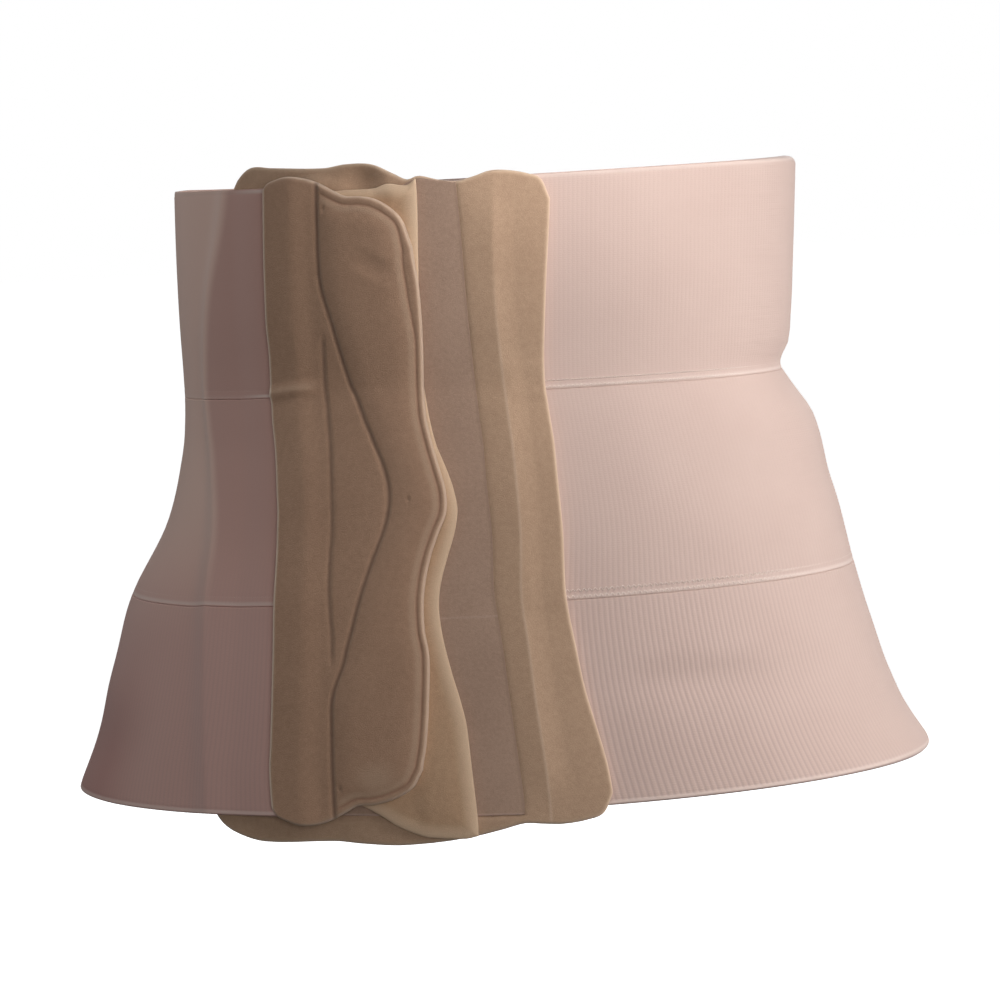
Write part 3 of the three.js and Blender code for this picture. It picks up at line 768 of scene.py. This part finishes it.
# A thin paler line along the crest: painted highlight on the ridge.
crest_highlight_tone = panel_finish.blend(panel_finish.mark("crest") * 0.3, panel_finish.colour, (0.72, 0.54, 0.41))
panel_finish.set(Base_Color=crest_highlight_tone)
dress(panel_finish, front_panel)


# Loop field
# A strip of low knitted loops, laminated on the middle of the front panel, that the hooked backs of the
# flaps grip. It is thin, cut square, and lies in a shallow recess of the panel.
loop_left_width = 60
loop_ends = np.array([
    (0, -0.8, -0.1), (0.68, -0.3, 0.05), (0.79, 0.1, 0.1), (0.88, 0.0, 0.12), (1, -0.2, 0.15)])


def loop_lines(z):
    return [-loop_left_width * curve(flap_left, z), loop_right_width * curve(loop_right, z)]


place = front_place(loop_ends, loop_lines, line_columns(towards_end(56, 0.5)), front_rows(120))
lines, round_, turn, z, edge = place
flat = 0 * z
where = np.stack([z - hip_seam_at(turn), lines[1] - round_, flat], axis=-1)
loop_field = front_piece(
    "loop_pile_field", "loop_field", place, loop_inner + flat, loop_outer + flat, 0.6, where=where)

loops = Finish(
    "loop_pile", Roughness=0.95, Sheen_Weight=0.35, Sheen_Roughness=0.5, Sheen_Tint=(1, 0.85, 0.8, 1))
loop_grain = loops.noise(2600, 3, 0.7)
loop_fluff = loops.noise(700, 4, 0.65)
loop_patch = loops.noise(26, 2, 0.5)
loop_tone = loops.smooth(loop_grain * 0.35 + loop_fluff * 0.35 + loop_patch * 0.3, 0.36, 0.64)
loop_colour = loops.blend(loop_tone, (0.37, 0.24, 0.172), (0.46, 0.305, 0.222))
over_hip, to_right = loops.marks("where")[:2]
shaded = (1 - loops.smooth(to_right, 0.2, 1.9)) * 0.4
loop_colour = loops.blend(shaded, loop_colour, (0.19, 0.115, 0.08))
hip_line = loops.smooth(over_hip, -8.1, -7.6) * (1 - loops.smooth(over_hip, -7.2, -6.7))
loop_colour = loops.blend(hip_line * 0.16, loop_colour, (0.62, 0.46, 0.38))
at_foot = (1 - loops.smooth(over_hip, -82, -76)) * loops.smooth(to_right, 0.6, 2)
bottom_line = (1 - loops.smooth(loops.mark("edge"), 0.3, 1.2)) * at_foot
loop_colour = loops.blend(bottom_line * 0.4, loop_colour, (0.70, 0.50, 0.43))
loops.set(Base_Color=loop_colour, Normal=loops.relief(loop_grain * 0.6 + loop_fluff * 0.4, 0.00028))
dress(loops, loop_field)


# Inner flap
# The lower of the two flaps that close the belt from the wearer's right: the same velour laminate, with
# hooks on its back. It shows as a lit rim beside the outer flap and as a wide soft tongue at the hem.
inner_flap_right_width = 29
inner_right = at_heights(
    (-1.1, 1.0), (-0.97, 0.97), (-0.8, 0.905), (-0.735, 0.82), (-0.67, 0.7), (-0.59, 0.57),
    (-0.53, 0.497), (-0.475, 0.47), (-0.415, 0.485), (-0.3, 0.55), (-0.245, 0.485), (-0.195, 0.38),
    (-0.137, 0.24), (-0.065, 0.17), (0.05, 0.138), (0.45, 0.114), (0.88, 0.11), (1.1, 0.06))
inner_ends = np.array([
    (0, -0.4, -0.7), (0.42, -0.35, -0.45), (0.53, -0.3, -0.04), (0.62, -0.3, 0.4), (0.74, -0.27, 0.77),
    (0.82, -0.08, 0.85), (0.94, -0.2, 0.9), (1, 0.1, 0.82),
])


def inner_lines(z):
    return [-flap_left_width * curve(flap_left, z), inner_flap_right_width * curve(inner_right, z)]


inner_columns = line_columns(np.concatenate([even(30) * 0.6, 0.6 + 0.4 * towards_end(44, 0.6)]))
place = front_place(inner_ends, inner_lines, inner_columns, front_rows(170))
lines, round_, turn, z, edge = place
free = ease(-112, -140, z) * ease(0, 12, edge) * ease(2, 10, round_)
relief = 0.9 * free + 1.1 * hollow(round_, z, -7, 80.6, 9, 6)
inner_flap = front_piece(
    "inner_flap_laminate", "inner_flap", place, inner_flap_inner + 0 * z, inner_flap_outer + relief, 4)
# Its pale edge band, 7 mm wide, is painted highlight: the lit rim beside the outer flap.
inner_finish = velour(
    "inner_flap_velour", (0.47, 0.29, 0.173), (0.58, 0.367, 0.225), (0.84, 0.62, 0.43),
    line=0, reach=7, strength=0.6)
dress(inner_finish, inner_flap)


# Outer flap
# The upper flap, which ends the belt's left elastic between itself and the inner flap. A flat stay pocket
# runs along its left edge. Two thin moulded grooves outline a slim hand grip beside the pocket, the body
# of the flap is a soft raised pad in a bead rim, and small dimples show where mould pins stood.
flap_right_width = 12.5
groove_half_width = 1.5
groove_depth = 0.55
rim_width = 8
pad_swell = 1.3
grip_top = 50
grip_foot = -128
straight_top = 27
straight_foot = -114
band_reach = 5.5

# The fold line, the grip's edge and the right edge, as shares of the left and right widths
outer_lines = at_heights(
    (-1.1, 0.455, 0.39, 0.6), (-0.98, 0.455, 0.39, 0.62), (-0.9, 0.45, 0.385, 0.67),
    (-0.84, 0.445, 0.38, 0.83), (-0.75, 0.44, 0.375, 0.945), (-0.635, 0.438, 0.35, 0.96),
    (-0.57, 0.448, 0.31, 0.78), (-0.48, 0.49, 0.265, 0.66), (-0.4, 0.525, 0.23, 0.66),
    (-0.346, 0.54, 0.198, 0.79), (-0.3, 0.552, 0.176, 0.97), (-0.25, 0.56, 0.173, 0.93),
    (-0.195, 0.567, 0.205, 0.72), (-0.138, 0.57, 0.265, 0.5), (-0.07, 0.57, 0.325, 0.37),
    (0.02, 0.57, 0.385, 0.4), (0.2, 0.572, 0.455, 0.42), (0.34, 0.577, 0.505, 0.4),
    (0.5, 0.585, 0.523, 0.33), (0.67, 0.594, 0.53, 0.16), (1.1, 0.6, 0.535, 0.1))
outer_ends = np.array([
    (0, -0.1, -0.3), (0.03, 0.2, -0.02), (0.1, 0.42, 0.18), (0.19, 0.54, 0.33), (0.3, 0.4, 0.3),
    (0.4, 0.12, 0.12), (0.5, -0.3, -0.15), (0.58, -0.59, -0.37), (0.68, -0.64, -0.4),
    (0.78, -0.83, -0.52), (0.88, -1.35, -0.75), (0.95, -2.05, -1.05), (1, -3.4, -1.6),
])


def outer_flap_lines(z):
    fold = -flap_left_width * curve(outer_lines, z)
    grip = -flap_left_width * curve(outer_lines, z, 2)
    right = flap_right_width * curve(outer_lines, z, 3)
    left = -flap_left_width * curve(flap_left, z)
    half = groove_half_width
    return [left, fold - half, fold, fold + half, grip - half, grip, grip + half, right - rim_width, right]


outer_columns = line_columns(
    towards_start(26, 0.3), even(4), even(4), even(16), even(4), even(4), even(34), towards_end(20, 0.4))
place = front_place(outer_ends, outer_flap_lines, outer_columns, front_rows(250))
lines, round_, turn, z, edge = place
fold, grip = lines[2], lines[5]
elastic_end = lines[0] + elastic_tuck_left
on_elastic = ease(elastic_end + elastic_tuck_left, elastic_end + layer_gap, round_)
inner = inner_flap_outer + layer_gap + (elastic_thickness + layer_gap) * on_elastic

# The main groove follows the fold line, swings out round the grip and comes back to it. The short
# straight one carries the fold line on past the grip.
swung = ease(grip_top, grip_top - 24, z) * ease(grip_foot, grip_foot + 20, z)
main = fold + (grip - fold) * swung
straight = ease(straight_top, straight_top - 7, z) * ease(straight_foot, straight_foot + 8, z)
crease = np.maximum(bump(round_ - main, 1.9), 0.85 * straight * bump(round_ - fold, 2.0))
body = ease(main + 0.6, main + 4, round_)
rim = 2.5 + 2.2 * bump(z - 45, 26) + 0.8 * ease(66, 76, z)
rolled = 1 - (1 - share(rim, rim + 10, edge)) ** 2.4
swell = pad_swell * rolled * (1 - (1 - share(main + 0.5, main + 11, round_)) ** 2)
seam = body * bump(edge - rim, 0.7)
across_dent = (z - 51.9) * 0.87 + (round_ + 13.5) * 0.49
dent = 0.65 * bump((round_ + 13.5) * 0.87 - (z - 51.9) * 0.49, 13) * bump(across_dent, 6)
band_height = z - 0.5 - 0.12 * (round_ + 55)
seam_band = bump(band_height, band_reach) * ease(fold - 1, fold - 9, round_)
dimples = pins(round_, z, (-34.8, 76.4, 1), (-19.6, 74, 0.4), (-2.7, -45.6, 1), (-25.8, -160.2, 1))
relief = swell + 0.06 * body * bump(edge - rim / 2, rim / 2) - groove_depth * crease - 0.22 * seam
relief = relief - dent + seam_band - 0.5 * dimples
# A paler patch near the foot, where the nap lies another way, and a painted highlight on the top of the
# raised seam band.
nap_patch_and_band_highlight = hollow(round_, z, -10, -156.5, 13, 10) + seam_band * bump(band_height - 1.5, 3.5)
# A bright line just inside the stay pocket's left edge: painted highlight.
left_edge_highlight = bump(round_ - lines[0] - 0.8, 1.2)
# Paler colour on the pad's rolled shoulder inside the rim, with the patch and band above and, much paler,
# the left edge line: painted highlight, besides the nap patch's own tone.
highlight_and_nap = np.maximum(body * bump(edge - rim - 1.6, 2.2), nap_patch_and_band_highlight) + 2 * left_edge_highlight
marked = np.stack([np.maximum(crease, 0.8 * dimples), seam, highlight_and_nap], axis=-1)
outer = inner + outer_flap_thickness + relief
outer_flap = front_piece("outer_flap_laminate", "outer_flap", place, inner, outer, 1.2, marked=marked)
outer_finish = velour(
    "outer_flap_velour", (0.36, 0.209, 0.131), (0.448, 0.271, 0.175), (0.61, 0.42, 0.295),
    line=0.3, strength=0.4)
crease, seam, highlight_and_nap = outer_finish.marks("marked")
# Painted highlight: paler on the shoulder, band and nap patch, much paler on the left edge line.
shade = outer_finish.blend(highlight_and_nap * 0.4, outer_finish.colour, (0.56, 0.39, 0.27))
shade = outer_finish.blend(outer_finish.smooth(highlight_and_nap, 1, 2) * 0.7, shade, (0.90, 0.74, 0.60))
# The grooves and pin dimples are painted dark: painted shade in the creases.
shade = outer_finish.blend(crease ** 2 * 0.6, shade, (0.17, 0.10, 0.07))
# The seam groove inside the bead rim is painted a dark red: painted shade in the groove.
outer_finish.set(Base_Color=outer_finish.blend(seam * 0.55, shade, (0.33, 0.165, 0.105)))
dress(outer_finish, outer_flap)


# Studio
# A seamless pale ground well below the belt, which the wearer's body holds up. The key lamp hangs close,
# over the front on the wearer's left, and weak lamps light the sides and the back. The camera stands a
# little to the same side.
floor_half = 60000
floor_drop = 450
corners = np.array([(-1, -1, 0), (1, -1, 0), (1, 1, 0), (-1, 1, 0)])
floor = new_piece("floor", corners * floor_half, [(0, 1, 2, 3)])
floor.location = (0, 0, -floor_drop * mm)
floor.visible_diffuse = False
floor.visible_glossy = False
floor_finish = Finish("pale_floor", Base_Color=(0.9, 0.9, 0.9, 1), Roughness=0.9)
floor_finish.set(Emission_Color=(1, 1, 1, 1), Emission_Strength=1.0)
dress(floor_finish, floor)


def soft_lamp(name, azimuth, elevation, distance, size, power):
    """An area lamp that faces the belt from an azimuth measured from the front towards the right."""
    light = bpy.data.lights.new(name, "AREA")
    light.shape = "DISK"
    light.size = size
    light.energy = power
    lamp = bpy.data.objects.new(name, light)
    lamp.visible_camera = False
    a, e = math.radians(azimuth), math.radians(elevation)
    way = Vector((math.sin(a) * math.cos(e), -math.cos(a) * math.cos(e), math.sin(e)))
    lamp.location = way * distance + Vector((0, 0, -0.05))
    lamp.rotation_euler = way.to_track_quat("Z", "Y").to_euler()
    bpy.context.scene.collection.objects.link(lamp)


soft_lamp("key_lamp", 30, 45, 0.3, 0.12, 0.142)
soft_lamp("fill_lamp", 60, 15, 0.6, 0.3, 1.15)
soft_lamp("right_lamp", 106, 8, 1.2, 0.5, 7.6)
soft_lamp("front_lamp", 20, 5, 1.6, 0.8, 5.9)
soft_lamp("left_lamp", -90, 35, 1.0, 0.5, 2.4)
soft_lamp("back_lamp", 190, 20, 1.8, 1.0, 12)

world = bpy.data.worlds.new("studio")
world.use_nodes = True
nodes, links = world.node_tree.nodes, world.node_tree.links
lit = nodes["Background"]
lit.inputs["Color"].default_value = (1, 1, 1, 1)
lit.inputs["Strength"].default_value = 0.03
shown = nodes.new("ShaderNodeBackground")
shown.inputs["Color"].default_value = (1, 1, 1, 1)
shown.inputs["Strength"].default_value = 1.0
pick = nodes.new("ShaderNodeMixShader")
links.new(nodes.new("ShaderNodeLightPath").outputs["Is Camera Ray"], pick.inputs[0])
links.new(lit.outputs[0], pick.inputs[1])
links.new(shown.outputs[0], pick.inputs[2])
links.new(pick.outputs[0], nodes["World Output"].inputs["Surface"])
bpy.context.scene.world = world
bpy.context.scene.view_settings.view_transform = "Standard"

camera_distance = 1.5
azimuth, elevation, roll = (math.radians(angle) for angle in (16, 4.5, 3))
level = math.cos(elevation)
back = Vector((math.sin(azimuth) * level, -math.cos(azimuth) * level, math.sin(elevation)))
right = Vector((math.cos(azimuth), math.sin(azimuth), 0))
up = back.cross(right)
tilted_right = right * math.cos(roll) - up * math.sin(roll)
tilted_up = right * math.sin(roll) + up * math.cos(roll)
lens = bpy.data.cameras.new("camera")
lens.lens = 122.58
lens.sensor_width = 36
camera = bpy.data.objects.new("camera", lens)
stand = right * 0.0044 + Vector((0, 0, -0.0545)) + back * camera_distance
turned = Matrix((tilted_right, tilted_up, back)).transposed().to_4x4()
camera.matrix_world = Matrix.Translation(stand) @ turned
bpy.context.scene.collection.objects.link(camera)
bpy.context.scene.camera = camera
